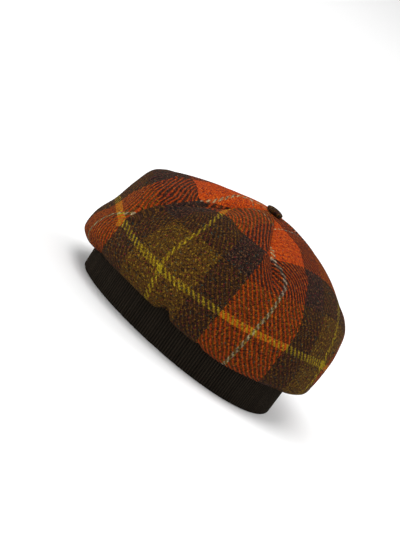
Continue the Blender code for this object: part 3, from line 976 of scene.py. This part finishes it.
def make_crown(material):
    rings = rings_apart(1.0, 0.0, LAST_RING)
    places = np.linspace(0, len(rings) - 1, CROWN_ROWS + 1)
    rings = np.interp(places, np.arange(len(rings)), rings)[1:]
    cloth = crown_cloth(rings) / UV_UNIT
    hidden = hidden_cloth(rings) / UV_UNIT
    count = CROWN_COLUMNS * len(DARTS)
    points = [np.array([[0.0, 0.0, TOP_HEIGHT]])]
    for ring in rings:
        points.append(crown_row(ring, gore_azimuths(ring, pleated_shares(ring))[:, :-1].ravel()))
    faces = []
    uvs = []
    for gore in range(len(DARTS)):
        for column in range(CROWN_COLUMNS):
            left = gore * CROWN_COLUMNS + column
            right = (left + 1) % count
            a, b = cloth[gore, column], cloth[gore, column + 1]
            if (gore == FRONT and column >= UNDERLAY_BEGINS) or (
                    gore == NEAR_LEFT and column < UNDERLAY_ENDS):
                a, b = a + hidden[gore], b + hidden[gore]
            faces.append((0, 1 + left, 1 + right))
            uvs += [0.5 * (a[0] + b[0]), a[0], b[0]]
            for row in range(len(rings) - 1):
                here = 1 + row * count
                faces.append((here + left, here + count + left, here + count + right, here + right))
                uvs += [a[row], a[row + 1], b[row + 1], b[row]]
    crown = make_piece("tweed_crown", np.concatenate(points), faces, material)
    lay_uvs(crown, "cloth", uvs)
    shell = crown.modifiers.new("cloth", "SOLIDIFY")
    shell.thickness = CLOTH * MM
    shell.offset = -1.0
    return crown


# ---- headband ----

def even_angles(count):
    """Parameter angles that space points evenly round the band's oval."""
    fine = np.linspace(0.0, math.tau, FINE_SAMPLES)
    x, y = band_line(fine, BAND_HEIGHT, 0.0)
    travel = travelled(np.hypot(np.diff(x), np.diff(y)))
    return np.interp(np.arange(count) / count * travel[-1], travel, fine)


def band_profile():
    """Height, distance inside the outer face and share of the ribs' depth, for each ring."""
    rows = [(height, 0.0, 1.0) for height in np.linspace(BAND_HEIGHT, BAND_ROUNDING, BAND_OUTER_ROWS)]
    for angle in np.linspace(0.0, math.pi / 2, BAND_FOLD_ROWS + 1)[1:]:
        rows.append((BAND_ROUNDING * (1 - math.sin(angle)), BAND_ROUNDING * (1 - math.cos(angle)),
                     math.cos(angle) * (1 - FOLD_RIBS) + FOLD_RIBS))
    for angle in np.linspace(math.pi / 2, 0.0, BAND_FOLD_ROWS):
        rows.append((BAND_ROUNDING * (1 - math.sin(angle)),
                     BAND_WALL - BAND_ROUNDING * (1 - math.cos(angle)), FOLD_RIBS))
    rows += [(height, BAND_WALL, INNER_RIBS)
             for height in np.linspace(BAND_ROUNDING, BAND_HEIGHT, BAND_INNER_ROWS)[1:]]
    return rows


def make_headband(material):
    """A ring of fine ribs, folded double at its lower edge."""
    count = RIB_COUNT * POINTS_PER_RIB
    angles = even_angles(count)
    phase = np.arange(count) / POINTS_PER_RIB
    ridge = 0.5 + 0.5 * np.cos(math.tau * phase)
    points = []
    for height, inset, share in band_profile():
        depth = inset + RIB_DEPTH * np.clip(share, 0, 1) * (1 - ridge ** RIB_ROUNDNESS)
        depth = depth - RIB_DEPTH * np.clip(-share, 0, 1) * (1 - ridge)
        x, y = band_line(angles, height, depth)
        points.append(np.stack([x, y, np.full(count, height)], axis=1))
    faces = []
    uvs = []
    rows = len(points)
    travel = travelled(np.linalg.norm(np.diff(np.array(points)[:, 0], axis=0), axis=1))
    for row in range(rows):
        below = (row + 1) % rows
        for column in range(count):
            right = (column + 1) % count
            faces.append((row * count + column, below * count + column, below * count + right,
                          row * count + right))
            u, v = column / POINTS_PER_RIB, (column + 1) / POINTS_PER_RIB
            up = travel[row]
            down = travel[below] if below else travel[row] + BAND_WALL
            uvs += [(u, up), (u, down), (v, down), (v, up)]
    band = make_piece("knit_headband", np.concatenate(points), faces, material)
    lay_uvs(band, "knit", np.array(uvs, np.float32) / np.float32((1.0, STITCH_HEIGHT)))
    return band


# ---- button ----

def make_button(material):
    """A small domed button covered in tweed, which is gathered in under its edge."""
    profile = []
    for angle in np.linspace(0.0, math.pi / 2, BUTTON_ROWS + 1)[1:]:
        profile.append((BUTTON_RADIUS * math.sin(angle) ** BUTTON_ROUNDNESS,
                        BUTTON_EDGE + (BUTTON_HEIGHT - BUTTON_EDGE) * math.cos(angle), 0.0))
    for angle in np.linspace(0.0, math.pi / 2, BUTTON_UNDER_ROWS)[1:]:
        profile.append((BUTTON_RADIUS - BUTTON_TURN_IN * (1 - math.cos(angle)),
                        BUTTON_EDGE * (1 - math.sin(angle)), math.sin(angle)))
    profile.append((BUTTON_SHANK, 0.0, 0.0))
    azimuth = np.arange(BUTTON_COLUMNS) / BUTTON_COLUMNS * math.tau
    base = TOP_HEIGHT + SEAT_GAP
    points = [np.array([[0.0, 0.0, base + BUTTON_HEIGHT]])]
    for radius, height, gather in profile:
        ring = radius * (1 - GATHER_DEPTH * gather * (0.5 + 0.5 * np.cos(BUTTON_GATHERS * azimuth)))
        points.append(np.stack([ring * np.sin(azimuth), -ring * np.cos(azimuth),
                                np.full(BUTTON_COLUMNS, base + height)], axis=1))
    points.append(np.array([[0.0, 0.0, base]]))
    last = 1 + len(profile) * BUTTON_COLUMNS
    faces = []
    for column in range(BUTTON_COLUMNS):
        right = (column + 1) % BUTTON_COLUMNS
        faces.append((0, 1 + column, 1 + right))
        for row in range(len(profile) - 1):
            here = 1 + row * BUTTON_COLUMNS
            there = here + BUTTON_COLUMNS
            faces.append((here + column, there + column, there + right, here + right))
        faces.append((last - BUTTON_COLUMNS + column, last, last - BUTTON_COLUMNS + right))
    points = np.concatenate(points)
    button = make_piece("covered_button", points, faces, material)
    lay_uvs(button, "cloth", points[np.concatenate(faces), :2] * (1, -1) / UV_UNIT)
    return button


# ---- floor and light ----
FLOOR_REACH = 6000.0
FLOOR_COLOUR = (0.88, 0.88, 0.88, 1.0)
WORLD_STRENGTH = 0.70
LIGHTS = (
    # name, place, target and size in mm, power in watts
    ("key", (-1600, -2900, 6600), (0, 0, 60), 4200.0, 325.0),
    ("fill", (-4300, -1300, 1500), (0, 0, 60), 2600.0, 80.0),
    ("back", (3600, 2200, 4200), (300, 200, 0), 3000.0, 110.0),
)


def make_floor():
    material, tree = new_material("floor")
    surface(tree, {"Base Color": FLOOR_COLOUR, "Roughness": 0.9})
    corners = np.array([(-1, -1, 0), (1, -1, 0), (1, 1, 0), (-1, 1, 0)]) * FLOOR_REACH
    floor = make_piece("floor", corners, [(0, 1, 2, 3)], material)


def make_light(name, place, target, size, power):
    light = bpy.data.lights.new(name, "AREA")
    light.energy = power
    light.size = size * MM
    lamp = add_object(name, light)
    lamp.location = Vector(place) * MM
    lamp.rotation_euler = (Vector(place) - Vector(target)).to_track_quat("Z", "Y").to_euler()


def make_world():
    world = bpy.data.worlds.new("studio")
    world.use_nodes = True
    background = world.node_tree.nodes["Background"]
    background.inputs["Color"].default_value = (1.0, 1.0, 1.0, 1.0)
    background.inputs["Strength"].default_value = WORLD_STRENGTH
    bpy.context.scene.world = world


bpy.context.scene.view_settings.view_transform = "Standard"
make_camera()
make_world()
for light in LIGHTS:
    make_light(*light)
make_floor()
crown = make_crown(tweed_material("tartan_tweed", STRIPES_ALONG, STRIPES_UP))
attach(crown, "root")
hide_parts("crown")

band = make_headband(knit_material("rib_knit"))
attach(band, "root")
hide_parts("headband")

button = make_button(tweed_material("button_tweed", BUTTON_ALONG, BUTTON_UP))
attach(button, "root")
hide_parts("button")
